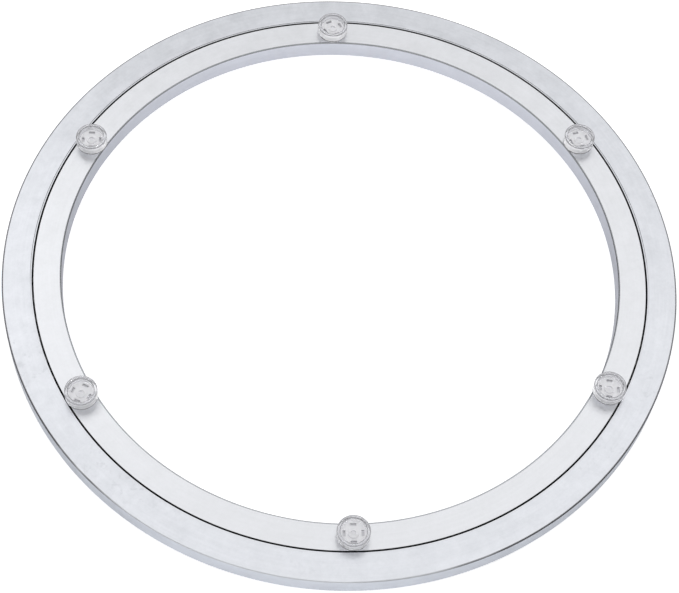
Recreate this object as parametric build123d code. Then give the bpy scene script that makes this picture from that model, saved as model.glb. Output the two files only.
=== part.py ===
from build123d import *

import math
import os

# Flat ring turntable: an inner ring with clear pads turns inside an outer base ring on a ball race.
# Millimetres, +Z up. The origin is on the turning axis, in the plane that the feet stand on.

# The two rings
outer_diameter = 300.0
outer_ring_width = 13.15
ring_gap = 0.7
inner_ring_width = 12.15
ring_thickness = 9.5
rim_chamfer = 0.4
gap_chamfer = 0.1

# Ball race, cut half into each ring and filled with steel and nylon balls by turns
ball_diameter = 5.0
race_clearance = 0.1
ball_spacing = 0.03

# Loading hole through the outer ring's rim, with the plug and the pin that close it
plug_angle = 90.0
plug_diameter = 6.0
plug_clearance = 0.05
pin_diameter = 2.0
pin_length = 6.8
pin_recess = 0.3
pin_clearance = 0.03
pin_end_gap = 0.3
pin_chamfer = 0.2

# Rubber feet in pockets under the outer ring
foot_count = 8
foot_first_angle = 22.5
foot_diameter = 8.0
foot_pocket_depth = 1.5
foot_stand = 1.2
foot_clearance = 0.1
foot_round = 0.4

# Clear pads: a cup on a smaller base, with a stem that is pressed into the inner ring
pad_first_angle = 30.0
pad_diameter = 14.0
pad_height = 6.7
pad_base_diameter = 11.5
pad_base_height = 1.9
pad_rim_wall = 1.55
pad_rim_round = 0.35
pad_recess_depth = 2.8
pad_hub_diameter = 4.6
pad_hub_height = 0.5
pad_pit_diameter = 2.4
pad_pit_depth = 1.2
pad_window_length = 2.7
pad_window_width = 1.2
pad_window_depth = 1.6
pad_window_count = 4
pad_stem_diameter = 4.4
pad_stem_length = 5.5
pad_stem_chamfer = 0.5
stem_clearance = 0.05
stem_end_gap = 0.4

# How far each pad happened to be turned about its own stem when it was pressed in, in degrees
pad_turns = (18.0, 26.0, 0.0, -25.0, 0.0, -8.0)

# Places that follow from the sizes above
outer_radius = outer_diameter / 2
outer_wall = outer_radius - outer_ring_width
inner_wall = outer_wall - ring_gap
bore_radius = inner_wall - inner_ring_width
ring_base = foot_stand
ring_top = ring_base + ring_thickness
race_height = ring_base + ring_thickness / 2
pitch_radius = (outer_wall + inner_wall) / 2
ball_radius = ball_diameter / 2
race_radius = ball_radius + race_clearance
plug_radius = plug_diameter / 2
pin_circle_radius = (pitch_radius + race_radius + outer_radius) / 2
pin_base = ring_base + pin_recess
foot_circle_radius = (outer_radius + outer_wall) / 2
pad_circle_radius = (inner_wall + bore_radius) / 2
pad_count = len(pad_turns)

# Overlap that lets a cutting tool pass clear of the face it starts from
cut_margin = 1.0


def spin(section):
    """Turn a section, drawn as radius and height, once round the turning axis."""
    return revolve(Plane.XZ * section, Axis.Z)


def around(angle, radius, height=0.0):
    """Place on a circle about the turning axis, with local X pointing outwards."""
    return Rot(0, 0, angle) * Pos(radius, 0, height)


def upright(radius, bottom, height):
    """Standing cylinder on the local Z axis, from its bottom height upwards."""
    return Pos(0, 0, bottom) * Cylinder(radius, height, align=(Align.CENTER, Align.CENTER, Align.MIN))


def radial_bar(radius, start, end):
    """Lying cylinder at the race's height, along local X from one radius to another."""
    bar = Cylinder(radius, end - start, align=(Align.CENTER, Align.CENTER, Align.MIN))
    return Pos(start, 0, race_height) * Rot(0, 90, 0) * bar


def ring_blank(inside, outside, inside_chamfer, outside_chamfer):
    """Plain ring with chamfered edges and its half of the ball race."""
    place = Pos((inside + outside) / 2, race_height)
    section = place * Rectangle(outside - inside, ring_thickness)
    section = chamfer(section.vertices().group_by(Axis.X)[0], inside_chamfer)
    section = chamfer(section.vertices().group_by(Axis.X)[-1], outside_chamfer)
    section -= Pos(pitch_radius, race_height) * Circle(race_radius)
    return spin(section)


def outer_ring_blank():
    """Outer ring before its holes are drilled."""
    return ring_blank(outer_wall, outer_radius, gap_chamfer, rim_chamfer)


def pin_bore(radius):
    """Hole for the plug's pin, from under the ring up into the plug."""
    top = pin_base + pin_length + pin_end_gap
    bottom = ring_base - cut_margin
    return around(plug_angle, pin_circle_radius) * upright(radius, bottom, top - bottom)


def foot_places():
    """Angle of each foot round the outer ring."""
    return [foot_first_angle + 360 * index / foot_count for index in range(foot_count)]


def pad_places():
    """Angle of each pad round the inner ring."""
    return [pad_first_angle + 360 * index / pad_count for index in range(pad_count)]


def make_outer_ring():
    """Base ring with the loading hole, the pin's hole and the foot pockets."""
    ring = outer_ring_blank()
    loading_radius = plug_radius + plug_clearance
    ring -= Rot(0, 0, plug_angle) * radial_bar(loading_radius, pitch_radius, outer_radius + cut_margin)
    ring -= pin_bore(pin_diameter / 2 + pin_clearance)
    pocket_radius = foot_diameter / 2 + foot_clearance
    pocket = upright(pocket_radius, ring_base - cut_margin, cut_margin + foot_pocket_depth)
    for angle in foot_places():
        ring -= around(angle, foot_circle_radius) * pocket
    return ring


def make_inner_ring():
    """Turning ring with a blind hole for each pad's stem."""
    ring = ring_blank(bore_radius, inner_wall, rim_chamfer, gap_chamfer)
    depth = pad_stem_length + stem_end_gap
    hole = upright(pad_stem_diameter / 2 + stem_clearance, ring_top - depth, depth + cut_margin)
    for angle in pad_places():
        ring -= around(angle, pad_circle_radius) * hole
    return ring


def make_balls():
    """Full race of balls, as the steel ones and the nylon spacers that stand between them."""
    least_step = 2 * math.asin((ball_diameter + ball_spacing) / (2 * pitch_radius))
    pairs = math.floor(math.tau / (2 * least_step))
    steel = []
    spacers = []
    for index in range(pairs):
        angle = 360 * index / pairs
        half_step = 180 / pairs
        steel.append(around(angle, pitch_radius, race_height) * Sphere(ball_radius))
        spacers.append(around(angle + half_step, pitch_radius, race_height) * Sphere(ball_radius))
    return Compound(steel), Compound(spacers)


def make_filler_plug():
    """Plug that fills the loading hole, shaped at its inner end as the race and outside as the rim."""
    bar = Rot(0, 0, plug_angle) * radial_bar(plug_radius, pitch_radius, outer_radius + cut_margin)
    return (bar & outer_ring_blank()) - pin_bore(pin_diameter / 2 + pin_clearance)


def make_plug_pin():
    """Pin with chamfered ends, standing in the ring and the plug."""
    pin = upright(pin_diameter / 2, pin_base, pin_length)
    pin = chamfer(pin.edges().filter_by(GeomType.CIRCLE), pin_chamfer)
    return around(plug_angle, pin_circle_radius) * pin


def make_foot():
    """Rubber disc that stands on the local origin, with a rounded lower edge."""
    foot = upright(foot_diameter / 2, 0, foot_stand + foot_pocket_depth)
    return fillet(foot.edges().group_by(Axis.Z)[0], foot_round)


def pad_section():
    """Half section of a pad, as radius and height above the ring, with its stem below."""
    cup = pad_diameter / 2
    base = pad_base_diameter / 2
    recess = cup - pad_rim_wall
    stem = pad_stem_diameter / 2
    hub = pad_hub_diameter / 2
    pit = pad_pit_diameter / 2
    floor = pad_height - pad_recess_depth
    hub_top = floor + pad_hub_height
    outline = Polyline(
        (0, -pad_stem_length),
        (stem - pad_stem_chamfer, -pad_stem_length),
        (stem, pad_stem_chamfer - pad_stem_length),
        (stem, 0),
        (base, 0),
        (base, pad_base_height),
        (cup, pad_base_height),
        (cup, pad_height),
        (recess, pad_height),
        (recess, floor),
        (hub, floor),
        (hub, hub_top),
        (pit, hub_top),
        (pit, hub_top - pad_pit_depth),
        (0, hub_top - pad_pit_depth),
        close=True,
    )
    section = make_face(outline)
    rim_corners = section.vertices().filter_by(lambda corner: corner.Y > hub_top)
    cup_foot = section.vertices().group_by(Axis.X)[-1].sort_by(Axis.Y)[0]
    return fillet([*rim_corners, cup_foot], pad_rim_round)


def make_pad():
    """Clear pad on the local origin, with its windows in the cup's floor."""
    pad = spin(pad_section())
    recess = pad_diameter / 2 - pad_rim_wall
    window_radius = (recess + pad_hub_diameter / 2) / 2
    floor = pad_height - pad_recess_depth
    window = Box(pad_window_width, pad_window_length, pad_window_depth + cut_margin)
    window_height = floor + (cut_margin - pad_window_depth) / 2
    for index in range(pad_window_count):
        pad -= around(360 * index / pad_window_count, window_radius, window_height) * window
    return pad


steel_balls, spacer_balls = make_balls()
nodes = {
    "outer_ring": make_outer_ring(),
    "inner_ring": make_inner_ring(),
    "steel_balls": steel_balls,
    "spacer_balls": spacer_balls,
    "filler_plug": make_filler_plug(),
    "plug_pin": make_plug_pin(),
}

pad = make_pad()
for number, (angle, turn) in enumerate(zip(pad_places(), pad_turns), start=1):
    upright_turn = Rot(0, 0, turn - angle)
    nodes[f"pad_{number}"] = around(angle, pad_circle_radius, ring_top) * upright_turn * pad

foot = make_foot()
for number, angle in enumerate(foot_places(), start=1):
    nodes[f"foot_{number}"] = around(angle, foot_circle_radius) * foot

os.makedirs("parts", exist_ok=True)
for name, shape in nodes.items():
    export_step(shape, f"parts/{name}.step")
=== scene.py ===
"""Looks of a flat ring turntable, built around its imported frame.

An inner aluminium ring turns inside an outer one on a hidden ball race. Clear moulded pads stand on the
inner ring, and rubber feet under the outer ring carry the whole. Lengths are in metres, in the frame's own
axes: +Z is the turning axis, and the feet stand on the plane at height zero.
"""

import logging
import math
from abc import ABC, abstractmethod
from collections.abc import Sequence
from dataclasses import dataclass, field
from enum import Enum, IntEnum

import bmesh
import bpy
from mathutils import Matrix, Vector


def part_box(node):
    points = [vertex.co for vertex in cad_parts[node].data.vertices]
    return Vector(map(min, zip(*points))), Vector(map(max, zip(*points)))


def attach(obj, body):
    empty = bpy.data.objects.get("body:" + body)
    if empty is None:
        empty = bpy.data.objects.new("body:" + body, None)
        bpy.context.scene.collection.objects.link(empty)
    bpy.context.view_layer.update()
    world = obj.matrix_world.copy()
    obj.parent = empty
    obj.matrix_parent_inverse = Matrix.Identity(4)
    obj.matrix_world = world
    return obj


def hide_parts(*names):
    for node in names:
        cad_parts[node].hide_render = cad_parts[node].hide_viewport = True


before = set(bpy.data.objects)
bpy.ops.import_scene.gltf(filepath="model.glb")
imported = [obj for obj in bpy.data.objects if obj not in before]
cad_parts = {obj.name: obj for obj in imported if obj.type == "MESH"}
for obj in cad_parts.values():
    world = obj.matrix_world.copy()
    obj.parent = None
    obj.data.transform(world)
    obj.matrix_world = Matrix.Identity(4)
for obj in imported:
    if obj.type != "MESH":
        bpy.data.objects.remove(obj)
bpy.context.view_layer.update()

log = logging.getLogger("turntable")

MM = 0.001
SHARP_FROM = math.radians(35)
QUARTER_TURN = 0.25
FOOT_NODES = tuple(f"foot_{number}" for number in range(1, 9))
PAD_NODES = tuple(f"pad_{number}" for number in range(1, 7))

Socket = bpy.types.NodeSocket
Colour = tuple[float, float, float]


class Body(Enum):
    """Moving bodies of the frame."""

    BASE = "base"
    ROTOR = "rotor"
    BALL_TRAIN = "ball_train"


class Slot(Enum):
    """Material slots of the record."""

    ALUMINIUM = "ring_aluminium"
    STEEL = "race_steel"
    NYLON = "spacer_nylon"
    CLEAR = "pad_clear"
    RUBBER = "foot_rubber"


class Side(IntEnum):
    """Side of the gap between the rings, as the sign of its distance from the gap's middle."""

    INNER = -1
    OUTER = 1


class Band(IntEnum):
    """Which finish a stretch of a ring's section takes, as its place among the ring's materials."""

    FACE = 0
    WALL = 1
    EDGE = 2
    RACE = 3
    LIP = 4


class PadBand(IntEnum):
    """Which finish a stretch of a pad takes, as its place among the pad's materials."""

    CLEAR = 0
    LINE = 1
    WALL = 2
    EDGE = 3
    RIM = 4
    CUP = 5
    WINDOW = 6


class Operation(Enum):
    """What a node does with its numbers or vectors."""

    ADD = "ADD"
    SUBTRACT = "SUBTRACT"
    MULTIPLY = "MULTIPLY"
    SCALE = "SCALE"
    LENGTH = "LENGTH"
    NORMALIZE = "NORMALIZE"
    DOT_PRODUCT = "DOT_PRODUCT"


@dataclass(frozen=True)
class Blotches:
    """A pattern of soft blotches.

    Attributes:
        scale: blotches in one metre.
        detail: how many finer layers are added.
        start: value of the noise at which a blotch begins to show.
        end: value of the noise at which it shows fully.
        grain: weight of each finer layer against the one before it.
    """

    scale: float
    detail: float
    start: float = 0.3
    end: float = 0.7
    grain: float = 0.5


@dataclass(frozen=True)
class Streaks:
    """A pattern of soft streaks that run round the turning axis.

    Attributes:
        along: streaks in one radian round the axis.
        across: streaks in one metre across the ring or up its walls.
        detail: how many finer layers are added.
        grain: weight of each finer layer against the one before it.
    """

    along: float
    across: float
    detail: float
    grain: float = 0.5


def set_inputs(node: bpy.types.Node, numbers: dict[str, float]) -> None:
    """Set several inputs of a node by their names."""
    for name, number in numbers.items():
        node.inputs[name].default_value = number


class FinishGraph:
    """A material's node tree, with short calls for the nodes that the finishes share."""

    def __init__(self, name: str) -> None:
        """Start a material that holds one principled shader.

        Args:
            name: name of the material.
        """
        self.material = bpy.data.materials.new(name)
        self.material.use_nodes = True
        self.nodes = self.material.node_tree.nodes
        self.links = self.material.node_tree.links
        self.shader = self.nodes["Principled BSDF"]

    def fix(self, values: dict[str, float | Colour]) -> None:
        """Set shader values that are the same all over the surface.

        Args:
            values: number or colour for each of the shader's inputs.
        """
        for name, value in values.items():
            is_colour = isinstance(value, tuple)
            self.shader.inputs[name].default_value = (*value, 1.0) if is_colour else value

    def feed(self, name: str, source: Socket) -> None:
        """Link a source to one of the shader's inputs."""
        self.links.new(source, self.shader.inputs[name])

    def place(self) -> Socket:
        """Return the point on the piece, in metres."""
        return self.nodes.new("ShaderNodeTexCoord").outputs["Object"]

    def split_place(self) -> bpy.types.Node:
        """Split the point on the piece into its coordinates.

        Returns:
            A node with the outputs X, Y and Z.
        """
        node = self.nodes.new("ShaderNodeSeparateXYZ")
        self.links.new(self.place(), node.inputs[0])
        return node

    def reckon(self, kind: Operation, first: Socket, second: Socket | float) -> Socket:
        """Join two numbers by one operation.

        Args:
            kind: the operation.
            first: linked number.
            second: linked or fixed number.

        Returns:
            The result.
        """
        node = self.nodes.new("ShaderNodeMath")
        node.operation = kind.value
        self.links.new(first, node.inputs[0])
        if isinstance(second, Socket):
            self.links.new(second, node.inputs[1])
        else:
            node.inputs[1].default_value = second
        return node.outputs[0]

    def vector_node(self, kind: Operation, first: Socket) -> bpy.types.Node:
        """Start an operation on vectors.

        Args:
            kind: the operation.
            first: linked vector.

        Returns:
            The operation's node, with its first input linked.
        """
        node = self.nodes.new("ShaderNodeVectorMath")
        node.operation = kind.value
        self.links.new(first, node.inputs[0])
        return node

    def ring_place(self, pattern: Streaks) -> Socket:
        """Return a point that runs slowly round the ring and fast across it, without a seam.

        Args:
            pattern: the streaks that will be read at the point.

        Returns:
            The point, for a texture.
        """
        parts = self.split_place()
        flat = self.nodes.new("ShaderNodeCombineXYZ")
        for axis in "XY":
            self.links.new(parts.outputs[axis], flat.inputs[axis])
        radius = self.vector_node(Operation.LENGTH, flat.outputs[0]).outputs["Value"]
        turn = self.vector_node(Operation.NORMALIZE, flat.outputs[0])
        wide = self.vector_node(Operation.SCALE, turn.outputs[0])
        wide.inputs["Scale"].default_value = pattern.along
        across = self.reckon(Operation.SUBTRACT, radius, parts.outputs["Z"])
        lift = self.nodes.new("ShaderNodeCombineXYZ")
        self.links.new(self.reckon(Operation.MULTIPLY, across, pattern.across), lift.inputs["Z"])
        both = self.vector_node(Operation.ADD, wide.outputs[0])
        self.links.new(lift.outputs[0], both.inputs[1])
        return both.outputs[0]

    def noise(self, place: Socket, scale: float, detail: float, grain: float, seed: float) -> Socket:
        """Return soft noise between 0 and 1.

        Args:
            place: point that the noise is read at.
            scale: blotches for one unit of the point.
            detail: how many finer layers are added.
            grain: weight of each finer layer against the one before it.
            seed: which of the many noises is read.

        Returns:
            The noise's value.
        """
        node = self.nodes.new("ShaderNodeTexNoise")
        node.noise_dimensions = "4D"
        set_inputs(node, {"W": seed, "Scale": scale, "Detail": detail, "Roughness": grain})
        self.links.new(place, node.inputs["Vector"])
        return node.outputs["Fac"]

    def blotches(self, pattern: Blotches, seed: float = 0.0) -> Socket:
        """Return the noise of a blotched pattern at the point on the piece."""
        return self.noise(self.place(), pattern.scale, pattern.detail, pattern.grain, seed)

    def streaks(self, pattern: Streaks, seed: float = 0.0) -> Socket:
        """Return the noise of a streaked pattern at the point on the piece."""
        return self.noise(self.ring_place(pattern), 1.0, pattern.detail, pattern.grain, seed)

    def spread(self, value: Socket, start: float = 0.3, end: float = 0.7, low: float = 0.0,
               high: float = 1.0) -> Socket:
        """Stretch a number from one range to another, and hold it within that.

        Args:
            value: linked number.
            start: value that gives low. Most of a noise lies between the usual start and end.
            end: value that gives high.
            low: result at start.
            high: result at end.

        Returns:
            The stretched number.
        """
        node = self.nodes.new("ShaderNodeMapRange")
        set_inputs(node, {"From Min": start, "From Max": end, "To Min": low, "To Max": high})
        self.links.new(value, node.inputs["Value"])
        return node.outputs["Result"]

    def patches(self, pattern: Blotches, seed: float, most: float = 1.0) -> Socket:
        """Return how far blotches show, from 0 between them to a given number within them."""
        return self.spread(self.blotches(pattern, seed), pattern.start, pattern.end, high=most)

    def shade(self, dark: Colour, light: Colour, amount: Socket) -> Socket:
        """Mix two colours.

        Args:
            dark: colour at an amount of 0.
            light: colour at an amount of 1.
            amount: linked amount.

        Returns:
            The mixed colour.
        """
        node = self.nodes.new("ShaderNodeMix")
        node.data_type = "RGBA"
        inputs = [socket for socket in node.inputs if socket.type == "RGBA"]
        for socket, colour in zip(inputs, (dark, light)):
            socket.default_value = (*colour, 1.0)
        self.links.new(amount, node.inputs["Factor"])
        return next(socket for socket in node.outputs if socket.type == "RGBA")

    def mottle(self, pattern: Blotches, dark: Colour, light: Colour, rough: tuple[float, float]) -> None:
        """Let blotches change the colour and the roughness together.

        Args:
            pattern: the blotches.
            dark: colour between the blotches.
            light: colour in the blotches.
            rough: roughness between the blotches, and in them.
        """
        noise = self.blotches(pattern)
        self.feed("Base Color", self.shade(dark, light, self.spread(noise, pattern.start, pattern.end)))
        self.feed("Roughness", self.spread(noise, low=rough[0], high=rough[1]))

    def roughen(self, height: Socket, depth: float, strength: float) -> None:
        """Raise the surface by a height map.

        Args:
            height: linked height between 0 and 1.
            depth: how far a height of 1 stands up, in metres.
            strength: share of the effect that shows.
        """
        node = self.nodes.new("ShaderNodeBump")
        set_inputs(node, {"Distance": depth, "Strength": strength})
        self.links.new(height, node.inputs["Height"])
        self.feed("Normal", node.outputs["Normal"])


class Finish(ABC):
    """A surface finish that makes its own material."""

    @abstractmethod
    def material(self) -> bpy.types.Material:
        """Return a new material with this finish."""


@dataclass(frozen=True)
class SatinAluminium(Finish):
    """Turned aluminium with a satin face, clouded, streaked along the ring and a little scuffed.

    Attributes:
        name: name of the material.
        dark: colour of a scuff.
        light: colour of the clearest metal.
        roughness: middle of the roughness.
        anisotropy: how far turning marks stretch the gloss across themselves.
        slant: share of the reflection that is left where the metal is seen at a slant.
        scuffing: depth of the scuffs, from 0 for none to 1.
        seed: which clouds, streaks and scuffs are drawn.
        roughness_spread: how far clouds move the roughness either way.
        clouds: pattern of the clouds.
        turning: pattern of the turning streaks.
        streak_weight: weight of the streaks beside the clouds.
        clear_range: clouds and streaks together where the metal is most clouded, and where it is clear.
        clouded: share of the light colour that is left where the metal is most clouded.
        scuffs: pattern of the scuffs.
        scuffed_parts: pattern of the parts of the ring that have scuffs.
        streak_depth: depth of the turning streaks.
        streak_strength: share of that depth that shows.
    """

    name: str
    dark: Colour
    light: Colour
    roughness: float
    anisotropy: float = 0.0
    slant: float = 1.0
    scuffing: float = 0.3
    seed: float = 0.0
    roughness_spread: float = 0.05
    clouds: Blotches = Blotches(90.0, 5.0, grain=0.75)
    turning: Streaks = Streaks(5.0, 900.0, 4.0)
    streak_weight: float = 0.25
    clear_range: tuple[float, float] = (0.425, 0.825)
    clouded: float = 0.4
    scuffs: Blotches = Blotches(420.0, 3.0, 0.56, 0.68)
    scuffed_parts: Blotches = Blotches(32.0, 1.0, 0.56, 0.66)
    streak_depth: float = 0.01 * MM
    streak_strength: float = 0.08

    def material(self) -> bpy.types.Material:
        """Make a material with this finish.

        Returns:
            The new material.
        """
        graph = FinishGraph(self.name)
        graph.fix({
            "Metallic": 1.0,
            "Anisotropic": self.anisotropy,
            "Anisotropic Rotation": QUARTER_TURN,
            "Specular Tint": (self.slant, self.slant, self.slant),
        })
        tangent = graph.nodes.new("ShaderNodeTangent")
        tangent.direction_type = "RADIAL"
        tangent.axis = "Z"
        graph.feed("Tangent", tangent.outputs["Tangent"])
        # Each pattern has a seed of its own, so that none repeats another
        clouds = graph.blotches(self.clouds, self.seed)
        streaks = graph.streaks(self.turning, self.seed + 2.0)
        faint_streaks = graph.reckon(Operation.MULTIPLY, streaks, self.streak_weight)
        mixed = graph.reckon(Operation.ADD, clouds, faint_streaks)
        clear = graph.spread(mixed, *self.clear_range, low=self.clouded)
        scuffs = graph.patches(self.scuffs, self.seed + 3.0)
        scuffed_parts = graph.patches(self.scuffed_parts, self.seed + 4.0, self.scuffing)
        marred = graph.reckon(Operation.MULTIPLY, scuffs, scuffed_parts)
        unmarred = graph.spread(marred, 0.0, 1.0, low=1.0, high=0.0)
        amount = graph.reckon(Operation.MULTIPLY, clear, unmarred)
        graph.feed("Base Color", graph.shade(self.dark, self.light, amount))
        low = self.roughness - self.roughness_spread
        high = self.roughness + self.roughness_spread
        graph.feed("Roughness", graph.spread(clouds, low=low, high=high))
        graph.roughen(streaks, self.streak_depth, self.streak_strength)
        return graph.material


@dataclass(frozen=True)
class LitStretch:
    """A stretch of a shade line round a ring that carries painted light instead.

    Attributes:
        middle: where its middle is, in degrees from +X.
        reach: how far it stays bright either way, in degrees.
        end: how far either way the line is fully shaded again, in degrees.
        shine: how much painted light it carries, from 0 for none to 1 for the colour of clean metal.
    """

    middle: float
    reach: float
    end: float
    shine: float


@dataclass(frozen=True)
class ShadeLine(Finish):
    """Narrow line round a ring, painted dark as shade, with painted light along one stretch.

    Attributes:
        name: name of the material.
        shaded: colour of the painted shade.
        lit: colour of the painted light.
        radius: radius of the line, in metres.
        stretch: the stretch with painted light.
        ragged_ends: pattern of the stretch's uneven ends.
        ragged_reach: how far its ends wander either way, in metres.
        shaded_roughness: roughness where the line carries painted shade.
        lit_roughness: roughness where it carries painted light.
    """

    name: str
    shaded: Colour
    lit: Colour
    radius: float
    stretch: LitStretch
    ragged_ends: Blotches = Blotches(60.0, 4.0)
    ragged_reach: float = 8 * MM
    shaded_roughness: float = 0.25
    lit_roughness: float = 0.5

    def material(self) -> bpy.types.Material:
        """Make a material with this finish.

        Returns:
            The new material.
        """
        graph = FinishGraph(self.name)
        graph.fix({"Metallic": 1.0})
        # Painted shade all round the line, blending into painted light along the stretch
        turn = math.radians(self.stretch.middle)
        along = graph.vector_node(Operation.DOT_PRODUCT, graph.place())
        along.inputs[1].default_value = (math.cos(turn), math.sin(turn), 0.0)
        wander = graph.spread(graph.blotches(self.ragged_ends), low=-self.ragged_reach, high=self.ragged_reach)
        near = graph.reckon(Operation.ADD, along.outputs["Value"], wander)
        shaded = self.radius * math.cos(math.radians(self.stretch.end))
        bright = self.radius * math.cos(math.radians(self.stretch.reach))
        amount = graph.spread(near, shaded, bright, high=self.stretch.shine)
        graph.feed("Base Color", graph.shade(self.shaded, self.lit, amount))
        roughness = graph.spread(amount, 0.0, 1.0, self.shaded_roughness, self.lit_roughness)
        graph.feed("Roughness", roughness)
        return graph.material


@dataclass(frozen=True)
class ShadedRace(Finish):
    """Walls of the gap and the race, bare at the lip and painted near black further down the gap as shade.

    Attributes:
        name: name of the material.
        lip: height where the painted shade starts, in metres.
        fade: height over which bare metal turns to painted shade.
        bare: colour of the metal at the lip.
        deep_shade: colour of the painted shade far down the gap.
        roughness: roughness of the metal, bare and shaded.
        runs: pattern of the painted shade's uneven edge.
    """

    name: str
    lip: float
    fade: float
    bare: Colour = (0.60, 0.61, 0.63)
    deep_shade: Colour = (0.02, 0.02, 0.02)
    roughness: float = 0.4
    runs: Streaks = Streaks(14.0, 200.0, 3.0)

    def material(self) -> bpy.types.Material:
        """Make a material with this finish.

        Returns:
            The new material.
        """
        graph = FinishGraph(self.name)
        graph.fix({"Metallic": 1.0, "Roughness": self.roughness})
        wander = graph.spread(graph.streaks(self.runs), low=-self.fade, high=self.fade)
        height = graph.reckon(Operation.ADD, graph.split_place().outputs["Z"], wander)
        amount = graph.spread(height, self.lip - self.fade, self.lip)
        graph.feed("Base Color", graph.shade(self.deep_shade, self.bare, amount))
        return graph.material


@dataclass(frozen=True)
class MilkyPlastic(Finish):
    """Clear soft plastic, milky in its body, with small waves from its mould.

    Attributes:
        name: name of the material.
        tint: colour of the plastic.
        clearness: share of the light that passes through, the rest being scattered.
        roughness: middle of the roughness.
        bending: index of refraction.
        haze: pattern of the haze.
        haze_spread: share of the roughness that the haze adds or takes away.
        waves: pattern of the waves.
        wave_seed: which waves are drawn.
        wave_height: height of the waves.
        wave_strength: share of that height that shows.
    """

    name: str
    tint: Colour
    clearness: float
    roughness: float
    bending: float = 1.47
    haze: Blotches = Blotches(700.0, 3.0)
    haze_spread: float = 0.3
    waves: Blotches = Blotches(350.0, 2.0)
    wave_seed: float = 4.0
    wave_height: float = 0.05 * MM
    wave_strength: float = 0.06

    def material(self) -> bpy.types.Material:
        """Make a material with this finish.

        Returns:
            The new material.
        """
        graph = FinishGraph(self.name)
        graph.fix({"Base Color": self.tint, "Transmission Weight": self.clearness, "IOR": self.bending})
        low = (1 - self.haze_spread) * self.roughness
        high = (1 + self.haze_spread) * self.roughness
        graph.feed("Roughness", graph.spread(graph.blotches(self.haze), low=low, high=high))
        graph.roughen(graph.blotches(self.waves, self.wave_seed), self.wave_height, self.wave_strength)
        return graph.material


@dataclass(frozen=True)
class PolishedSteel(Finish):
    """Hard polished steel with fine run marks.

    Attributes:
        name: name of the material.
        dark: colour of the marks.
        light: colour of the clean steel.
        marks: pattern of the marks.
        roughness: roughness of the marks, and of the clean steel.
    """

    name: str
    dark: Colour
    light: Colour
    marks: Blotches = Blotches(900.0, 5.0, 0.35, 0.6)
    roughness: tuple[float, float] = (0.2, 0.1)

    def material(self) -> bpy.types.Material:
        """Make a material with this finish.

        Returns:
            The new material.
        """
        graph = FinishGraph(self.name)
        graph.fix({"Metallic": 1.0})
        graph.mottle(self.marks, self.dark, self.light, self.roughness)
        return graph.material


@dataclass(frozen=True)
class BlackNylon(Finish):
    """Matte black nylon with greasy stains.

    Attributes:
        name: name of the material.
        dark: colour of the stains.
        light: colour of the clean nylon.
        stains: pattern of the stains.
        roughness: roughness of the stains, and of the clean nylon.
    """

    name: str
    dark: Colour
    light: Colour
    stains: Blotches = Blotches(500.0, 4.0, 0.3, 0.6)
    roughness: tuple[float, float] = (0.55, 0.4)

    def material(self) -> bpy.types.Material:
        """Make a material with this finish.

        Returns:
            The new material.
        """
        graph = FinishGraph(self.name)
        graph.mottle(self.stains, self.dark, self.light, self.roughness)
        return graph.material


@dataclass(frozen=True)
class BlackRubber(Finish):
    """Moulded black rubber with a fine grain and a little dust.

    Attributes:
        name: name of the material.
        black: colour of the clean rubber.
        dust: colour where dust lies.
        dusty_parts: pattern of the dust.
        roughness: roughness of the clean rubber, and of the dust.
        grain: pattern of the grain.
        grain_seed: which grain is drawn.
        grain_height: height of the grain.
        grain_strength: share of that height that shows.
    """

    name: str
    black: Colour
    dust: Colour
    dusty_parts: Blotches = Blotches(600.0, 5.0, 0.45, 0.75)
    roughness: tuple[float, float] = (0.65, 0.9)
    grain: Blotches = Blotches(4000.0, 3.0)
    grain_seed: float = 2.0
    grain_height: float = 0.04 * MM
    grain_strength: float = 0.5

    def material(self) -> bpy.types.Material:
        """Make a material with this finish.

        Returns:
            The new material.
        """
        graph = FinishGraph(self.name)
        graph.mottle(self.dusty_parts, self.black, self.dust, self.roughness)
        graph.roughen(graph.blotches(self.grain, self.grain_seed), self.grain_height, self.grain_strength)
        return graph.material


@dataclass(frozen=True)
class Corner:
    """One corner of a half section.

    Attributes:
        radius: distance from the turning axis.
        height: height of the corner.
        bend: radius that the corner is rounded to.
        band: finish of the stretch that follows the corner.
    """

    radius: float
    height: float
    bend: float = 0.0
    band: int = 0


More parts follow.
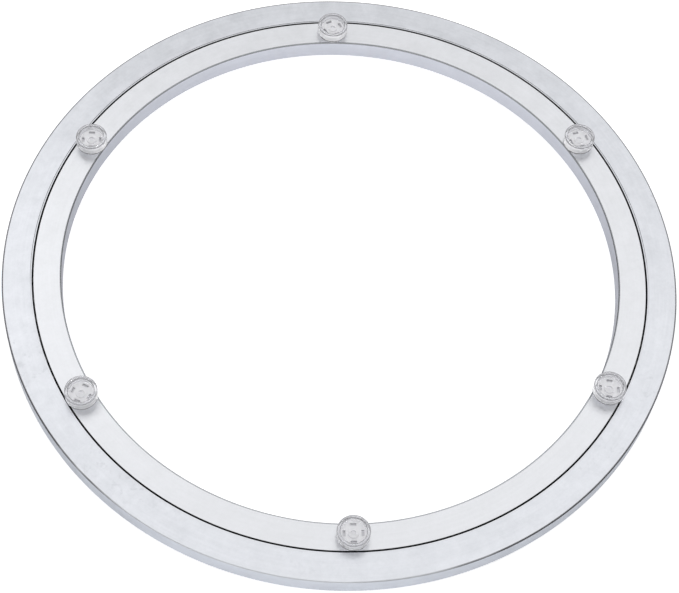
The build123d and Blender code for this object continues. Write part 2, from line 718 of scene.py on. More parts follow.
@dataclass
class HalfSection:
    """Half section of a turned piece, walked counter-clockwise as radius and height.

    Attributes:
        corners: the corners in order.
        closed: whether the last corner joins the first, as in a ring.
        steps: straight pieces in each rounded corner.
        support: distance from a rounding to the extra point that keeps flat faces flat.
    """

    corners: Sequence[Corner]
    closed: bool
    steps: int = 4
    support: float = 0.03 * MM

    def rounded(self, before: Corner, here: Corner, after: Corner) -> list[tuple[Vector, int]]:
        """Round one corner.

        Args:
            before: the corner before it.
            here: the corner.
            after: the corner after it.

        Returns:
            Points along the rounding, each with the finish of the stretch that follows it.
        """
        middle = Vector((here.radius, here.height))
        arriving = (middle - Vector((before.radius, before.height))).normalized()
        leaving = (Vector((after.radius, after.height)) - middle).normalized()
        turn = arriving.angle_signed(leaving)
        reach = here.bend * math.tan(abs(turn) / 2)
        side = Vector((-arriving.y, arriving.x)) * math.copysign(here.bend, -turn)
        start = middle - arriving * reach
        centre = start + side
        points = [(start - arriving * self.support, before.band)]
        for step in range(self.steps + 1):
            spoke = Matrix.Rotation(-turn * step / self.steps, 2) @ -side
            points.append((centre + spoke, here.band if 2 * step >= self.steps else before.band))
        points.append((middle + leaving * (reach + self.support), here.band))
        return points

    def points(self) -> list[tuple[Vector, int]]:
        """Walk the whole section.

        Returns:
            Every point, each with the finish of the stretch that follows it.
        """
        found = []
        count = len(self.corners)
        for index, here in enumerate(self.corners):
            if here.bend:
                found += self.rounded(self.corners[index - 1], here, self.corners[(index + 1) % count])
            else:
                found.append((Vector((here.radius, here.height)), here.band))
        return found

    def turned(self, name: str, segments: int) -> bpy.types.Object:
        """Turn the section once round the Z axis.

        Args:
            name: name of the new object.
            segments: flat steps in a full turn.

        Returns:
            The new object, shaded smooth with sharp corners kept.
        """
        points = self.points()
        verts, rows = [], []
        for point, _ in points:
            steps = segments if point.x > 0 else 1
            rows.append([len(verts) + step for step in range(steps)])
            for step in range(steps):
                angle = math.tau * step / segments
                verts.append((point.x * math.cos(angle), point.x * math.sin(angle), point.y))
        faces, bands = [], []
        for index in range(len(points) if self.closed else len(points) - 1):
            low, high = rows[index], rows[(index + 1) % len(rows)]
            for step in range(segments):
                after = (step + 1) % segments
                lower = [low[place % len(low)] for place in (step, after)]
                upper = [high[place % len(high)] for place in (after, step)]
                faces.append(list(dict.fromkeys(lower + upper)))
                bands.append(points[index][1])
        mesh = bpy.data.meshes.new(name)
        mesh.from_pydata(verts, [], faces)
        mesh.polygons.foreach_set("material_index", bands)
        smooth(mesh)
        return placed(name, mesh)


def smooth(mesh: bpy.types.Mesh) -> None:
    """Shade a mesh smooth, with its corners kept sharp.

    Args:
        mesh: the mesh.
    """
    mesh.polygons.foreach_set("use_smooth", [True] * len(mesh.polygons))
    mesh.set_sharp_from_angle(angle=SHARP_FROM)
    mesh.update()


def placed(name: str, mesh: bpy.types.Mesh) -> bpy.types.Object:
    """Put a mesh into the scene as an object.

    Args:
        name: name of the object.
        mesh: the mesh.

    Returns:
        The new object, at the origin.
    """
    shape = bpy.data.objects.new(name, mesh)
    bpy.context.scene.collection.objects.link(shape)
    return shape


def finished(name: str, work: bmesh.types.BMesh) -> bpy.types.Object:
    """Put worked geometry into the scene as an object, and free it.

    Args:
        name: name of the object.
        work: the geometry.

    Returns:
        The new object, at the origin.
    """
    mesh = bpy.data.meshes.new(name)
    work.to_mesh(mesh)
    work.free()
    return placed(name, mesh)


def centre_of(node: str) -> Vector:
    """Return the middle of a node's box in the frame."""
    low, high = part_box(node)
    return (Vector(low) + Vector(high)) / 2


def rod(radius: float, bottom: float, top: float, segments: int) -> bpy.types.Object:
    """Make a standing closed cylinder on the Z axis, as a cutting tool.

    Args:
        radius: its radius.
        bottom: height of its lower end.
        top: height of its upper end.
        segments: flat steps in a full turn.

    Returns:
        The new object.
    """
    corners = [Corner(0, bottom), Corner(radius, bottom), Corner(radius, top), Corner(0, top)]
    return HalfSection(corners, closed=False).turned("rod", segments)


def drill(node: str, radius: float, bottom: float, top: float, segments: int) -> bpy.types.Object:
    """Make a rod that cuts the hole for a node.

    Args:
        node: the frame's node that the hole is for.
        radius: radius of the hole.
        bottom: height of the rod's lower end.
        top: height of the rod's upper end.
        segments: flat steps in a full turn.

    Returns:
        The new object, standing on the node's middle.
    """
    tool = rod(radius, bottom, top, segments)
    tool.location = (*centre_of(node).xy, 0)
    return tool


def carve(piece: bpy.types.Object, tools: Sequence[bpy.types.Object], band: int,
          keep: bool = False) -> None:
    """Cut tools out of a piece, or keep only what lies within them, and delete the tools.

    Args:
        piece: the piece that is cut.
        tools: closed shapes that don't touch each other.
        band: finish of the faces that the tools leave.
        keep: whether the part within the tools is what stays.
    """
    merged = bmesh.new()
    for tool in tools:
        tool.data.transform(tool.matrix_basis)
        merged.from_mesh(tool.data)
        bpy.data.objects.remove(tool)
    cutter = finished("cutter", merged)
    cutter.data.polygons.foreach_set("material_index", [band] * len(cutter.data.polygons))
    change = piece.modifiers.new("carve", "BOOLEAN")
    change.operation = "INTERSECT" if keep else "DIFFERENCE"
    change.solver = "MANIFOLD"
    change.object = cutter
    result = piece.evaluated_get(bpy.context.evaluated_depsgraph_get())
    mesh = bpy.data.meshes.new_from_object(result)
    piece.modifiers.clear()
    piece.data = mesh
    smooth(mesh)
    bpy.data.objects.remove(cutter)


@dataclass
class Piece:
    """One finished piece and its place in the frame.

    Attributes:
        shape: the piece's object.
        body: body that it moves with.
        slot: the record's slot that its finish belongs to; not used.
        node: the frame's node that it stands for.
    """

    shape: bpy.types.Object
    body: Body
    slot: Slot
    node: str

    def settle(self) -> None:
        """Tie the piece to its body, hide the frame's node that it stands for, and report it."""
        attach(self.shape, self.body.value)
        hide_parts(self.node)
        log.info("%s stands for %s on %s", self.shape.name, self.node, self.body.value)


class SubAssembly(ABC):
    """Pieces of the turntable that are built and dressed together."""

    @abstractmethod
    def build(self) -> list[Piece]:
        """Return the pieces, built and placed."""

    @abstractmethod
    def dress(self, pieces: Sequence[Piece]) -> None:
        """Give each of the built pieces its finish."""


def paint(pieces: Sequence[Piece], finishes: Sequence[Finish]) -> None:
    """Give pieces the same list of materials.

    Args:
        pieces: the pieces.
        finishes: their finishes, in the order of the bands on their faces.
    """
    materials = [finish.material() for finish in finishes]
    for piece in pieces:
        slots = piece.shape.data.materials
        while len(slots) < len(materials):
            slots.append(None)
        for index, material in enumerate(materials):
            slots[index] = material


@dataclass
class BallGap:
    """The gap between the rings, and the ball race that both rings share.

    Attributes:
        pitch: radius of the circle that the balls' centres lie on.
        width: width of the gap.
        race: radius of the race's round section.
        height: height of the balls' centres.
        chamfer: chamfer along the gap's lips.
        steps: straight pieces in each half of the race.
    """

    pitch: float = 136.5 * MM
    width: float = 0.7 * MM
    race: float = 2.6 * MM
    height: float = field(default_factory=lambda: centre_of("steel_balls").z)
    chamfer: float = 0.1 * MM
    steps: int = 14

    def wall(self, side: Side) -> float:
        """Return the radius of the gap's wall on one side."""
        return self.pitch + side * self.width / 2

    def half_race(self, side: Side) -> list[Corner]:
        """Return the race's half in one wall, walked upwards.

        Args:
            side: side of the gap that the wall is on.

        Returns:
            Corners along the half circle.
        """
        reach = math.acos(self.width / 2 / self.race)
        corners = []
        for step in range(self.steps + 1):
            angle = reach * (2 * step / self.steps - 1)
            radius = self.pitch + side * self.race * math.cos(angle)
            corners.append(Corner(radius, self.height + self.race * math.sin(angle), band=Band.RACE))
        return corners


@dataclass
class Ring(SubAssembly):
    """One aluminium ring.

    Attributes:
        gap: the gap and race that it shares with the other ring.
        chamfer: chamfer along its free edges.
        edge_line: width of the line on the face, beside the upper free chamfer, that takes the edge's
            painted shade.
        edge_bend: rounding of the free chamfers' own edges.
        lip_bend: rounding of the chamfers' edges along the gap.
        segments: flat steps in a full turn.
    """

    gap: BallGap
    chamfer: float = 0.4 * MM
    edge_line: float = 0.3 * MM
    edge_bend: float = 0.08 * MM
    lip_bend: float = 0.03 * MM
    segments: int = 360

    def edge(self, radius: float, height: float, band: Band) -> Corner:
        """Return a corner with the rounding of the ring's free edges."""
        return Corner(radius, height, self.edge_bend, band)

    def lip(self, radius: float, height: float, band: Band) -> Corner:
        """Return a corner with the finer rounding of the gap's lips."""
        return Corner(radius, height, self.lip_bend, band)


@dataclass
class OuterRing(Ring):
    """Base ring, with pockets for its feet and the plugged loading hole of the race.

    Attributes:
        foot_pocket_radius: radius of each foot's pocket.
        foot_pocket_depth: depth of each foot's pocket.
        plug_radius: radius of the plug in the loading hole.
        plug_clearance: room round the plug.
        pin_radius: radius of the pin that holds the plug.
        pin_clearance: room round the pin.
        pin_end_gap: room above the pin.
        bar_end: how far out the bar that cuts the loading hole ends, in outer radii of the ring.
        lip_line_start: distance from the gap to the dark line of painted shade that runs beside it.
        lip_line_end: distance from the gap to that line's far side.
        shade_depth: how far below the face the race's painted shade starts.
        shade_fade: height over which bare metal turns to painted shade.
        pocket_segments: flat steps round a foot's pocket.
        plug_segments: flat steps round the plug and its hole.
        pin_segments: flat steps round the pin's hole.
    """

    foot_pocket_radius: float = 4.1 * MM
    foot_pocket_depth: float = 1.5 * MM
    plug_radius: float = 3.0 * MM
    plug_clearance: float = 0.05 * MM
    pin_radius: float = 1.0 * MM
    pin_clearance: float = 0.03 * MM
    pin_end_gap: float = 0.3 * MM
    bar_end: float = 1.05
    lip_line_start: float = 0.55 * MM
    lip_line_end: float = 0.77 * MM
    shade_depth: float = 0.5 * MM
    shade_fade: float = 0.4 * MM
    pocket_segments: int = 72
    plug_segments: int = 96
    pin_segments: int = 48

    def __post_init__(self) -> None:
        """Read the ring's outer sizes from the frame."""
        low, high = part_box("outer_ring")
        self.base, self.top, self.radius = low[2], high[2], high[1]
        self.wall = self.gap.wall(Side.OUTER)

    def blank(self, name: str) -> bpy.types.Object:
        """Make the ring as it is before it is drilled.

        Args:
            name: name of the object.

        Returns:
            The new object.
        """
        radius, wall, lip = self.radius, self.wall, self.gap.chamfer
        corners = [
            self.lip(wall + lip, self.base, Band.FACE),
            self.edge(radius - self.chamfer, self.base, Band.EDGE),
            self.edge(radius, self.base + self.chamfer, Band.WALL),
            self.edge(radius, self.top - self.chamfer, Band.EDGE),
            self.edge(radius - self.chamfer, self.top, Band.EDGE),
            # The strip beside the upper outer chamfer and the LIP strip beside the gap carry painted shade
            Corner(radius - self.chamfer - self.edge_line, self.top, band=Band.FACE),
            Corner(wall + self.lip_line_end, self.top, band=Band.LIP),
            Corner(wall + self.lip_line_start, self.top, band=Band.FACE),
            self.lip(wall + lip, self.top, Band.EDGE),
            self.lip(wall, self.top - lip, Band.RACE),
            *reversed(self.gap.half_race(Side.OUTER)),
            self.lip(wall, self.base + lip, Band.EDGE),
        ]
        return HalfSection(corners, closed=True).turned(name, self.segments)

    def loading_bar(self, radius: float) -> bpy.types.Object:
        """Make a bar along the loading hole, from the race out through the rim.

        Args:
            radius: radius of the bar.

        Returns:
            The new object, lying along +Y.
        """
        bar = rod(radius, self.gap.pitch, self.bar_end * self.radius, self.plug_segments)
        lying = Matrix.Rotation(-math.pi / 2, 4, "X")
        bar.matrix_basis = Matrix.Translation((0, 0, self.gap.height)) @ lying
        return bar

    def pin_drill(self) -> bpy.types.Object:
        """Make the rod that cuts the pin's hole.

        Returns:
            The new object.
        """
        _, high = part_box("plug_pin")
        radius = self.pin_radius + self.pin_clearance
        return drill("plug_pin", radius, 0, high[2] + self.pin_end_gap, self.pin_segments)

    def build(self) -> list[Piece]:
        """Make the ring, and the plug that closes its loading hole.

        Returns:
            The ring and the plug.
        """
        ring = self.blank("outer_ring_body")
        carve(ring, [self.loading_bar(self.plug_radius + self.plug_clearance)], Band.RACE)
        holes = [self.pin_drill()]
        pocket_top = self.base + self.foot_pocket_depth
        for node in FOOT_NODES:
            holes.append(drill(node, self.foot_pocket_radius, 0, pocket_top, self.pocket_segments))
        carve(ring, holes, Band.FACE)
        plug = self.blank("filler_plug_body")
        carve(plug, [self.loading_bar(self.plug_radius)], Band.WALL, keep=True)
        carve(plug, [self.pin_drill()], Band.WALL)
        return [
            Piece(ring, Body.BASE, Slot.ALUMINIUM, "outer_ring"),
            Piece(plug, Body.BASE, Slot.ALUMINIUM, "filler_plug"),
        ]

    def dress(self, pieces: Sequence[Piece]) -> None:
        """Give the ring and the plug their turned aluminium, with painted shade on the edges, the lip line
        and the race, and painted light on a stretch of the edges.

        Args:
            pieces: the ring and the plug.
        """
        paint(pieces, [
            SatinAluminium("outer_ring_face", (0.495, 0.51, 0.54), (0.735, 0.75, 0.79), 0.34,
                           anisotropy=0.6, scuffing=0.45, seed=3.0),
            SatinAluminium("outer_ring_wall", (0.58, 0.60, 0.66), (0.71, 0.74, 0.80), 0.38,
                           slant=0.42, seed=7.0),
            # The edges are painted dark as shade, with painted light round 255 degrees
            ShadeLine("outer_ring_edge", (0.17, 0.17, 0.18), (0.80, 0.82, 0.86), self.radius,
                     LitStretch(middle=255.0, reach=18.0, end=40.0, shine=0.85)),
            # The race walls are painted near black down the gap as shade
            ShadedRace("outer_ring_race", self.top - self.shade_depth, self.shade_fade),
            # The lip line is painted shade, near black on the +Y half, and painted light round 270 degrees
            ShadeLine("outer_ring_lip", (0.05, 0.05, 0.05), (0.67, 0.68, 0.71), self.wall,
                     LitStretch(middle=270.0, reach=80.0, end=95.0, shine=1.0)),
        ])


@dataclass
class InnerRing(Ring):
    """Turning ring, with a blind hole for each pad's stem.

    Attributes:
        width: width of the ring.
        stem_hole_radius: radius of each pad's hole.
        stem_hole_depth: depth of each pad's hole.
        shade_depth: how far below the face the race's painted shade starts.
        shade_fade: height over which bare metal turns to painted shade.
        hole_segments: flat steps round a pad's hole.
    """

    width: float = 12.15 * MM
    stem_hole_radius: float = 2.25 * MM
    stem_hole_depth: float = 5.9 * MM
    shade_depth: float = 0.1 * MM
    shade_fade: float = 0.3 * MM
    hole_segments: int = 64

    def __post_init__(self) -> None:
        """Read the ring's heights from the frame."""
        low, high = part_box("inner_ring")
        self.base, self.top = low[2], high[2]
        self.wall = self.gap.wall(Side.INNER)
        self.bore = self.wall - self.width

    def build(self) -> list[Piece]:
        """Make the ring, drilled for its pads.

        Returns:
            The ring alone.
        """
        wall, bore, lip = self.wall, self.bore, self.gap.chamfer
        corners = [
            self.edge(bore + self.chamfer, self.base, Band.FACE),
            self.lip(wall - lip, self.base, Band.EDGE),
            self.lip(wall, self.base + lip, Band.RACE),
            *self.gap.half_race(Side.INNER),
            self.lip(wall, self.top - lip, Band.FACE),
            self.lip(wall - lip, self.top, Band.FACE),
            # The strip beside the bore's upper chamfer takes the EDGE finish, painted shade
            Corner(bore + self.chamfer + self.edge_line, self.top, band=Band.EDGE),
            self.edge(bore + self.chamfer, self.top, Band.EDGE),
            self.edge(bore, self.top - self.chamfer, Band.WALL),
            self.edge(bore, self.base + self.chamfer, Band.EDGE),
        ]
        ring = HalfSection(corners, closed=True).turned("inner_ring_body", self.segments)
        hole_floor = self.top - self.stem_hole_depth
        well_above = 2 * self.top
        holes = []
        for node in PAD_NODES:
            holes.append(drill(node, self.stem_hole_radius, hole_floor, well_above, self.hole_segments))
        carve(ring, holes, Band.WALL)
        return [Piece(ring, Body.ROTOR, Slot.ALUMINIUM, "inner_ring")]

    def dress(self, pieces: Sequence[Piece]) -> None:
        """Give the ring its turned aluminium, with painted shade on the bore wall, the edges and the race.

        Args:
            pieces: the ring alone.
        """
        paint(pieces, [
            SatinAluminium("inner_ring_face", (0.63, 0.64, 0.66), (0.80, 0.81, 0.84), 0.42,
                           anisotropy=0.6, seed=13.0),
            # The bore wall is coloured darker than the face's aluminium: painted shade
            SatinAluminium("inner_ring_wall", (0.455, 0.47, 0.52), (0.575, 0.59, 0.65), 0.38,
                           slant=0.5, seed=17.0),
            # The edges are coloured dark: painted shade
            SatinAluminium("inner_ring_edge", (0.23, 0.24, 0.25), (0.36, 0.37, 0.39), 0.22, seed=19.0),
            # The race walls are painted near black down the gap as shade
            ShadedRace("inner_ring_race", self.top - self.shade_depth, self.shade_fade),
        ])


@dataclass
class PlugPin(SubAssembly):
    """Steel pin that holds the loading hole's plug.

    Attributes:
        chamfer: chamfer at both ends.
        bend: rounding of the chamfers' edges.
        bend_steps: straight pieces in each rounding.
        segments: flat steps in a full turn.
    """

    chamfer: float = 0.2 * MM
    bend: float = 0.05 * MM
    bend_steps: int = 2
    segments: int = 48

    def build(self) -> list[Piece]:
        """Make the pin, standing in its hole.

        Returns:
            The pin alone.
        """
        low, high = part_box("plug_pin")
        radius = (high[1] - low[1]) / 2
        corners = [
            Corner(0, low[2]),
            Corner(radius - self.chamfer, low[2], self.bend),
            Corner(radius, low[2] + self.chamfer, self.bend),
            Corner(radius, high[2] - self.chamfer, self.bend),
            Corner(radius - self.chamfer, high[2], self.bend),
            Corner(0, high[2]),
        ]
        section = HalfSection(corners, closed=False, steps=self.bend_steps)
        pin = section.turned("plug_pin_body", self.segments)
        pin.location = (*centre_of("plug_pin").xy, 0)
        return [Piece(pin, Body.BASE, Slot.STEEL, "plug_pin")]

    def dress(self, pieces: Sequence[Piece]) -> None:
        """Give the pin its steel."""
        paint(pieces, [PolishedSteel("pin_steel", (0.40, 0.40, 0.41), (0.62, 0.63, 0.65))])


@dataclass
class BallTrain(SubAssembly):
    """Steel balls of the race, with the nylon balls that keep them apart.

    Attributes:
        gap: the gap and race that they run in.
        radius: radius of a ball.
        pairs: how many balls of each kind fill the race.
        around: flat steps round a ball.
        upwards: flat steps from pole to pole.
    """

    gap: BallGap
    radius: float = 2.5 * MM
    pairs: int = 85
    around: int = 20
    upwards: int = 12

    def balls(self, name: str, phase: float) -> bpy.types.Object:
        """Make one kind of ball, all round the race.

        Args:
            name: name of the object.
            phase: how far the first ball stands from +X, in steps between balls of a kind.

        Returns:
            The new object.
        """
        corners = [Corner(0, -self.radius)]
        for rise in range(1, self.upwards):
            angle = math.pi * rise / self.upwards
            corners.append(Corner(self.radius * math.sin(angle), -self.radius * math.cos(angle)))
        corners.append(Corner(0, self.radius))
        balls = HalfSection(corners, closed=False).turned(name, self.around)
        step = math.tau / self.pairs
        spot = Matrix.Translation((self.gap.pitch, 0, self.gap.height))
        balls.data.transform(Matrix.Rotation(step * phase, 4, "Z") @ spot)
        work = bmesh.new()
        for _ in range(self.pairs):
            work.from_mesh(balls.data)
            balls.data.transform(Matrix.Rotation(step, 4, "Z"))
        work.to_mesh(balls.data)
        work.free()
        smooth(balls.data)
        return balls

    def build(self) -> list[Piece]:
        """Make both kinds of ball.

        Returns:
            The steel balls and the nylon ones.
        """
        return [
            Piece(self.balls("steel_ball_set", phase=0.0), Body.BALL_TRAIN, Slot.STEEL, "steel_balls"),
            Piece(self.balls("spacer_ball_set", phase=0.5), Body.BALL_TRAIN, Slot.NYLON, "spacer_balls"),
        ]

    def dress(self, pieces: Sequence[Piece]) -> None:
        """Give each kind of ball its own finish.

        Args:
            pieces: the steel balls and the nylon ones.
        """
        steel, spacers = pieces
        paint([steel], [PolishedSteel("ball_steel", (0.05, 0.05, 0.05), (0.16, 0.16, 0.16))])
        paint([spacers], [BlackNylon("spacer_nylon", (0.010, 0.010, 0.010), (0.03, 0.03, 0.03))])


@dataclass
class ClearPads(SubAssembly):
    """Six clear pads: a cup on a smaller base, with a hub, four windows and a stem.

    Attributes:
        ring_top: height of the face that the pads stand on.
        cup_radius: outer radius of the cup.
        base_radius: radius of the base under the cup.
        base_height: height of the base.
        rim_wall: wall of the cup.
        rim_bend: rounding of the rim and of the cup's foot.
        edge_margin: how far the rim's edge lines of painted shade reach past its roundings.
        foot_shade_line: height of the dark line of painted shadow round the cup's foot, above its rounding.
        small_bend: rounding of the other corners.
        recess_depth: depth of the cup's inside.
        hub_radius: radius of the hub on the cup's floor.
        hub_height: height of the hub.
        pit_radius: radius of the pit in the hub.
        pit_depth: depth of the pit.
        window_length: length of a window in the cup's floor, round the hub.
        window_width: width of a window.
        window_depth: depth of a window.
        window_count: how many windows there are.
        stem_radius: radius of the stem.
        stem_length: length of the stem.
        stem_chamfer: chamfer at the stem's end.
        seat_gap: room between the base and the ring.
        turns: how far each pad is turned about its own stem, in degrees.
        segments: flat steps in a full turn.
    """

    ring_top: float
    cup_radius: float = 7.0 * MM
    base_radius: float = 5.75 * MM
    base_height: float = 1.9 * MM
    rim_wall: float = 1.55 * MM
    rim_bend: float = 0.35 * MM
    edge_margin: float = 0.06 * MM
    foot_shade_line: float = 0.4 * MM
    small_bend: float = 0.12 * MM
    recess_depth: float = 2.8 * MM
    hub_radius: float = 2.3 * MM
    hub_height: float = 0.5 * MM
    pit_radius: float = 1.2 * MM
    pit_depth: float = 1.2 * MM
    window_length: float = 2.7 * MM
    window_width: float = 1.2 * MM
    window_depth: float = 1.6 * MM
    window_count: int = 4
    stem_radius: float = 2.2 * MM
    stem_length: float = 5.5 * MM
    stem_chamfer: float = 0.5 * MM
    seat_gap: float = 0.02 * MM
    turns: tuple[float, ...] = (18.0, 26.0, 0.0, -25.0, 0.0, -8.0)
    segments: int = 96

    def __post_init__(self) -> None:
        """Read the pads' height from the frame, and place the cup's inside."""
        _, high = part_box(PAD_NODES[0])
        self.height = high[2] - self.ring_top
        self.recess = self.cup_radius - self.rim_wall
        self.floor = self.height - self.recess_depth

    def corner(self, radius: float, height: float, band: PadBand) -> Corner:
        """Return a corner with the pad's small rounding."""
        return Corner(radius, height, self.small_bend, band)

    def moulded(self) -> bpy.types.Object:
        """Make one pad on the origin.

        Returns:
            The new object, before it is placed.
        """
        hub_top = self.floor + self.hub_height
        pit_floor = hub_top - self.pit_depth
        rim_edge = self.rim_bend + self.edge_margin
        corners = [
            Corner(0, -self.stem_length, band=PadBand.CLEAR),
            self.corner(self.stem_radius - self.stem_chamfer, -self.stem_length, PadBand.CLEAR),
            self.corner(self.stem_radius, self.stem_chamfer - self.stem_length, PadBand.CLEAR),
            self.corner(self.stem_radius, self.seat_gap, PadBand.CLEAR),
            self.corner(self.base_radius, self.seat_gap, PadBand.CLEAR),
            self.corner(self.base_radius, self.base_height, PadBand.CLEAR),
            # The LINE band round the cup's foot is a painted shadow, and the EDGE bands round the rim are
            # painted shade
            Corner(self.cup_radius, self.base_height, self.rim_bend, PadBand.LINE),
            Corner(self.cup_radius, self.base_height + self.rim_bend + self.foot_shade_line, band=PadBand.WALL),
            Corner(self.cup_radius, self.height - rim_edge, band=PadBand.EDGE),
            Corner(self.cup_radius, self.height, self.rim_bend, PadBand.EDGE),
            Corner(self.cup_radius - rim_edge, self.height, band=PadBand.RIM),
            Corner(self.recess + rim_edge, self.height, band=PadBand.EDGE),
            Corner(self.recess, self.height, self.rim_bend, PadBand.EDGE),
            Corner(self.recess, self.height - rim_edge, band=PadBand.CLEAR),
            self.corner(self.recess, self.floor, PadBand.CUP),
            self.corner(self.hub_radius, self.floor, PadBand.CUP),
            self.corner(self.hub_radius, hub_top, PadBand.CUP),
            self.corner(self.pit_radius, hub_top, PadBand.CUP),
            self.corner(self.pit_radius, pit_floor, PadBand.CUP),
            Corner(0, pit_floor, band=PadBand.CUP),
        ]
        pad = HalfSection(corners, closed=False).turned("pad_blank", self.segments)
        carve(pad, [self.window(index) for index in range(self.window_count)], PadBand.WINDOW)
        return pad

    def window(self, index: int) -> bpy.types.Object:
        """Make the block that cuts one window into the cup's floor.

        Args:
            index: number of the window round the hub.

        Returns:
            The new object.
        """
        work = bmesh.new()
        bmesh.ops.create_cube(work, size=1.0)
        block = finished("window", work)
        turn = Matrix.Rotation(math.tau * index / self.window_count, 4, "Z")
        shift = Matrix.Translation(((self.recess + self.hub_radius) / 2, 0, self.floor))
        size = Matrix.Diagonal((self.window_width, self.window_length, 2 * self.window_depth, 1.0))
        block.matrix_basis = turn @ shift @ size
        return block

    def build(self) -> list[Piece]:
        """Make the six pads, each pressed in at its own turn.

        Returns:
            The pads in the order of their nodes.
        """
        blank = self.moulded()
        pieces = []
        for node, turn in zip(PAD_NODES, self.turns):
            pad = placed(f"{node}_moulding", blank.data.copy())
            pad.location = (*centre_of(node).xy, self.ring_top)
            pad.rotation_euler.z = math.radians(turn)
            # Light passes through clear plastic, so it leaves no dark shadow on the ring
            pad.visible_shadow = False
            pieces.append(Piece(pad, Body.ROTOR, Slot.CLEAR, node))
        bpy.data.objects.remove(blank)
        return pieces

    def dress(self, pieces: Sequence[Piece]) -> None:
        """Give the pads their plastic, clear in the rim and frosted in the cup, with painted shade as grey
        tints and a painted shadow round the cup's foot.

        Args:
            pieces: the pads.
        """
        paint(pieces, [
            MilkyPlastic("pad_clear", (0.98, 0.98, 1.0), clearness=0.70, roughness=0.20),
            # Near black round the cup's foot: painted shadow under the cup's overhang
            MilkyPlastic("pad_line", (0.04, 0.04, 0.04), clearness=0.0, roughness=0.35),
            MilkyPlastic("pad_wall", (0.95, 0.95, 0.97), clearness=0.40, roughness=0.12),
            # Grey lines along the rim's edges: painted shade
            MilkyPlastic("pad_edge", (0.44, 0.44, 0.46), clearness=0.50, roughness=0.15),
            # The rim's grey tint is painted shade
            MilkyPlastic("pad_rim", (0.82, 0.82, 0.84), clearness=0.80, roughness=0.05),
            # The cup's frosting is the plastic's own; its grey tint is painted shade
            MilkyPlastic("pad_cup", (0.84, 0.84, 0.86), clearness=0.20, roughness=0.75),
            # The windows' grey tint is painted shade
            MilkyPlastic("pad_window", (0.66, 0.66, 0.68), clearness=0.25, roughness=0.40),
        ])


@dataclass
class RubberFeet(SubAssembly):
    """Eight rubber feet, with a rounded lower edge and a dimple from the mould.

    Attributes:
        lower_bend: rounding of the lower edge.
        upper_bend: rounding of the upper edge and of the dimple.
        dimple_radius: radius of the dimple.
        dimple_depth: depth of the dimple.
        segments: flat steps in a full turn.
    """

    lower_bend: float = 0.4 * MM
    upper_bend: float = 0.1 * MM
    dimple_radius: float = 1.6 * MM
    dimple_depth: float = 0.3 * MM
    segments: int = 64

    def build(self) -> list[Piece]:
        """Make the feet, standing in their pockets.

        Returns:
            The feet in the order of their nodes.
        """
        pieces = []
        for node in FOOT_NODES:
            low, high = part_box(node)
            radius = (high[1] - low[1]) / 2
            corners = [
                Corner(0, low[2] + self.dimple_depth),
                Corner(self.dimple_radius - self.dimple_depth, low[2] + self.dimple_depth, self.upper_bend),
                Corner(self.dimple_radius, low[2], self.upper_bend),
                Corner(radius, low[2], self.lower_bend),
                Corner(radius, high[2], self.upper_bend),
                Corner(0, high[2]),
            ]
            foot = HalfSection(corners, closed=False).turned(f"{node}_rubber", self.segments)
            foot.location = (*centre_of(node).xy, 0)
            pieces.append(Piece(foot, Body.BASE, Slot.RUBBER, node))
        return pieces

    def dress(self, pieces: Sequence[Piece]) -> None:
        """Give the feet their rubber."""
        paint(pieces, [BlackRubber("foot_black", (0.012, 0.012, 0.013), (0.045, 0.044, 0.042))])


@dataclass(frozen=True)
class PhotoCamera:
    """Camera at the photo's viewing angle.

    Attributes:
        focal_pixels: focal length in pixels of the photo.
        image_width: width of the photo in pixels.
        sensor: width of the sensor, in Blender's millimetres.
        near_clip: distance at which the camera begins to see.
        azimuth: turn of the camera about the turning axis, in degrees.
        elevation: height of the camera above the rings' plane, in degrees.
        roll: turn about the line of sight, in degrees.
        distance: distance along the line of sight to the middle of the rings' top.
        slide_right: how far the rings' middle stands to the right of the line of sight.
        slide_up: how far the rings' middle stands above the line of sight.
    """

    focal_pixels: float = 1800.7
    image_width: int = 679
    sensor: float = 36.0
    near_clip: float = 0.01
    azimuth: float = -6.84
    elevation: float = 59.831
    roll: float = -5.614
    distance: float = 802.42 * MM
    slide_right: float = 1.021 * MM
    slide_up: float = 14.184 * MM

    def build(self, aim: Vector) -> None:
        """Put the camera into the scene.

        Args:
            aim: middle of the rings' top.
        """
        lens = bpy.data.cameras.new("photo_camera")
        lens.sensor_width = self.sensor
        lens.lens = self.focal_pixels * self.sensor / self.image_width
        lens.clip_start = self.near_clip
        camera = bpy.data.objects.new("photo_camera", lens)
        bpy.context.scene.collection.objects.link(camera)
        tilt = Matrix.Rotation(math.pi / 2 - math.radians(self.elevation), 4, "X")
        turn = Matrix.Rotation(math.radians(self.azimuth), 4, "Z") @ tilt
        turn = turn @ Matrix.Rotation(-math.radians(self.roll), 4, "Z")
        slide = Matrix.Translation((-self.slide_right, -self.slide_up, self.distance))
        camera.matrix_world = Matrix.Translation(aim) @ turn @ slide
        bpy.context.scene.camera = camera


@dataclass(frozen=True)
class SoftLamp:
    """Large square lamp that faces the middle of the rings.

    Attributes:
        name: name of the lamp.
        azimuth: where it hangs round the turning axis, in degrees from +X.
        elevation: how high it hangs, in degrees.
        radiance: brightness of its face, where 1 shows as white.
        distance: distance from the middle of the rings.
        side: side of its square.
    """

    name: str
    azimuth: float
    elevation: float
    radiance: float
    distance: float = 2.0
    side: float = 1.2

    def build(self) -> None:
        """Hang the lamp."""
        light = bpy.data.lights.new(self.name, "AREA")
        light.size = self.side
        light.energy = self.radiance * math.pi * self.side ** 2
        lamp = bpy.data.objects.new(self.name, light)
        turn = Matrix.Rotation(math.radians(self.azimuth), 4, "Z")
        lean = Matrix.Rotation(-math.radians(self.elevation), 4, "Y")
        lamp.location = turn @ lean @ Vector((self.distance, 0, 0))
        lamp.rotation_euler = lamp.location.to_track_quat("Z", "Y").to_euler()
        bpy.context.scene.collection.objects.link(lamp)


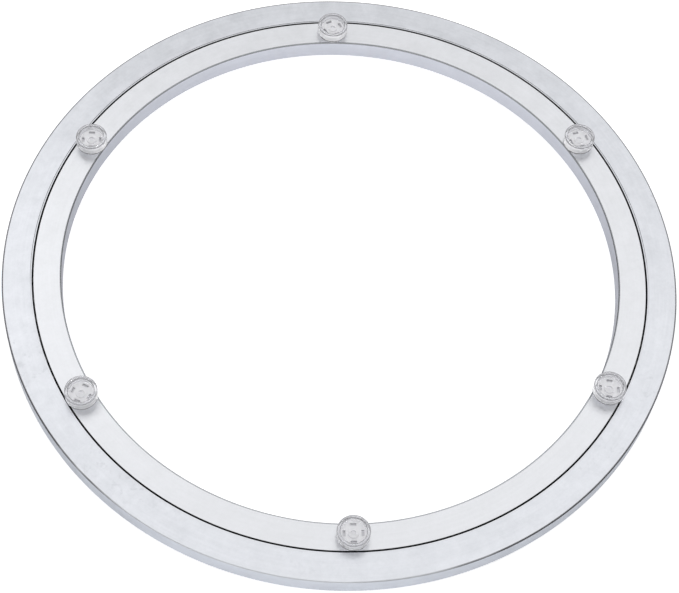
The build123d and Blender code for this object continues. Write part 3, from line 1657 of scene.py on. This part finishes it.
@dataclass(frozen=True)
class Studio:
    """Pale lit floor, even light from all round, and a few soft lamps.

    Attributes:
        floor_side: side of the square floor.
        floor_colour: colour of the floor.
        floor_roughness: roughness of the floor.
        floor_gloss: strength of the floor's reflections.
        floor_glow: light that the floor gives off by itself, as a lit table does.
        surround: brightness of the surroundings overhead, where 1 shows as white.
        horizon: brightness of the surroundings at the floor's level.
        dark_below: height that the horizon's brightness reaches up to, in degrees.
        light_above: height where the overhead brightness begins, in degrees.
        lamps: the lamps.
    """

    floor_side: float = 8.0
    floor_colour: Colour = (0.90, 0.90, 0.90)
    floor_roughness: float = 0.9
    floor_gloss: float = 0.1
    floor_glow: float = 0.55
    surround: float = 0.90
    horizon: float = 0.3
    dark_below: float = 16.0
    light_above: float = 30.0
    lamps: tuple[SoftLamp, ...] = (
        SoftLamp("left_back_lamp", azimuth=135.0, elevation=42.0, radiance=0.47),
        SoftLamp("left_high_lamp", azimuth=135.0, elevation=66.0, radiance=0.37),
        SoftLamp("right_high_lamp", azimuth=45.0, elevation=66.0, radiance=0.40),
    )

    def floor(self) -> None:
        """Lay the floor."""
        work = bmesh.new()
        bmesh.ops.create_grid(work, x_segments=1, y_segments=1, size=self.floor_side / 2)
        floor = finished("floor", work)
        graph = FinishGraph("pale_floor")
        graph.fix({
            "Base Color": self.floor_colour,
            "Roughness": self.floor_roughness,
            "Specular IOR Level": self.floor_gloss,
            "Emission Color": self.floor_colour,
            "Emission Strength": self.floor_glow,
        })
        floor.data.materials.append(graph.material)

    def surroundings(self) -> None:
        """Light the scene evenly from overhead, with a dark band round the horizon."""
        world = bpy.data.worlds.new("studio")
        world.use_nodes = True
        nodes, links = world.node_tree.nodes, world.node_tree.links
        parts = nodes.new("ShaderNodeSeparateXYZ")
        links.new(nodes.new("ShaderNodeTexCoord").outputs["Generated"], parts.inputs[0])
        rise = nodes.new("ShaderNodeMapRange")
        rise.interpolation_type = "SMOOTHSTEP"
        set_inputs(rise, {
            "From Min": math.sin(math.radians(self.dark_below)),
            "From Max": math.sin(math.radians(self.light_above)),
            "To Min": self.horizon,
            "To Max": self.surround,
        })
        links.new(parts.outputs["Z"], rise.inputs["Value"])
        sky = nodes["Background"]
        sky.inputs["Color"].default_value = (1.0, 1.0, 1.0, 1.0)
        links.new(rise.outputs["Result"], sky.inputs["Strength"])
        bpy.context.scene.world = world

    def build(self) -> None:
        """Set up the floor and the lights."""
        self.floor()
        self.surroundings()
        for lamp in self.lamps:
            lamp.build()
        bpy.context.scene.view_settings.view_transform = "Standard"


def main() -> None:
    """Build and dress the turntable, and set it in its studio."""
    logging.basicConfig(level=logging.INFO, format="%(name)s: %(message)s")
    gap = BallGap()
    outer, inner = OuterRing(gap), InnerRing(gap)
    pads = ClearPads(inner.top)
    assemblies: list[SubAssembly] = [outer, inner, PlugPin(), BallTrain(gap), pads, RubberFeet()]
    for assembly in assemblies:
        pieces = assembly.build()
        assembly.dress(pieces)
        for piece in pieces:
            piece.settle()
    Studio().build()
    PhotoCamera().build(Vector((0, 0, inner.top)))
    bpy.context.view_layer.update()


if __name__ == "__main__":
    main()
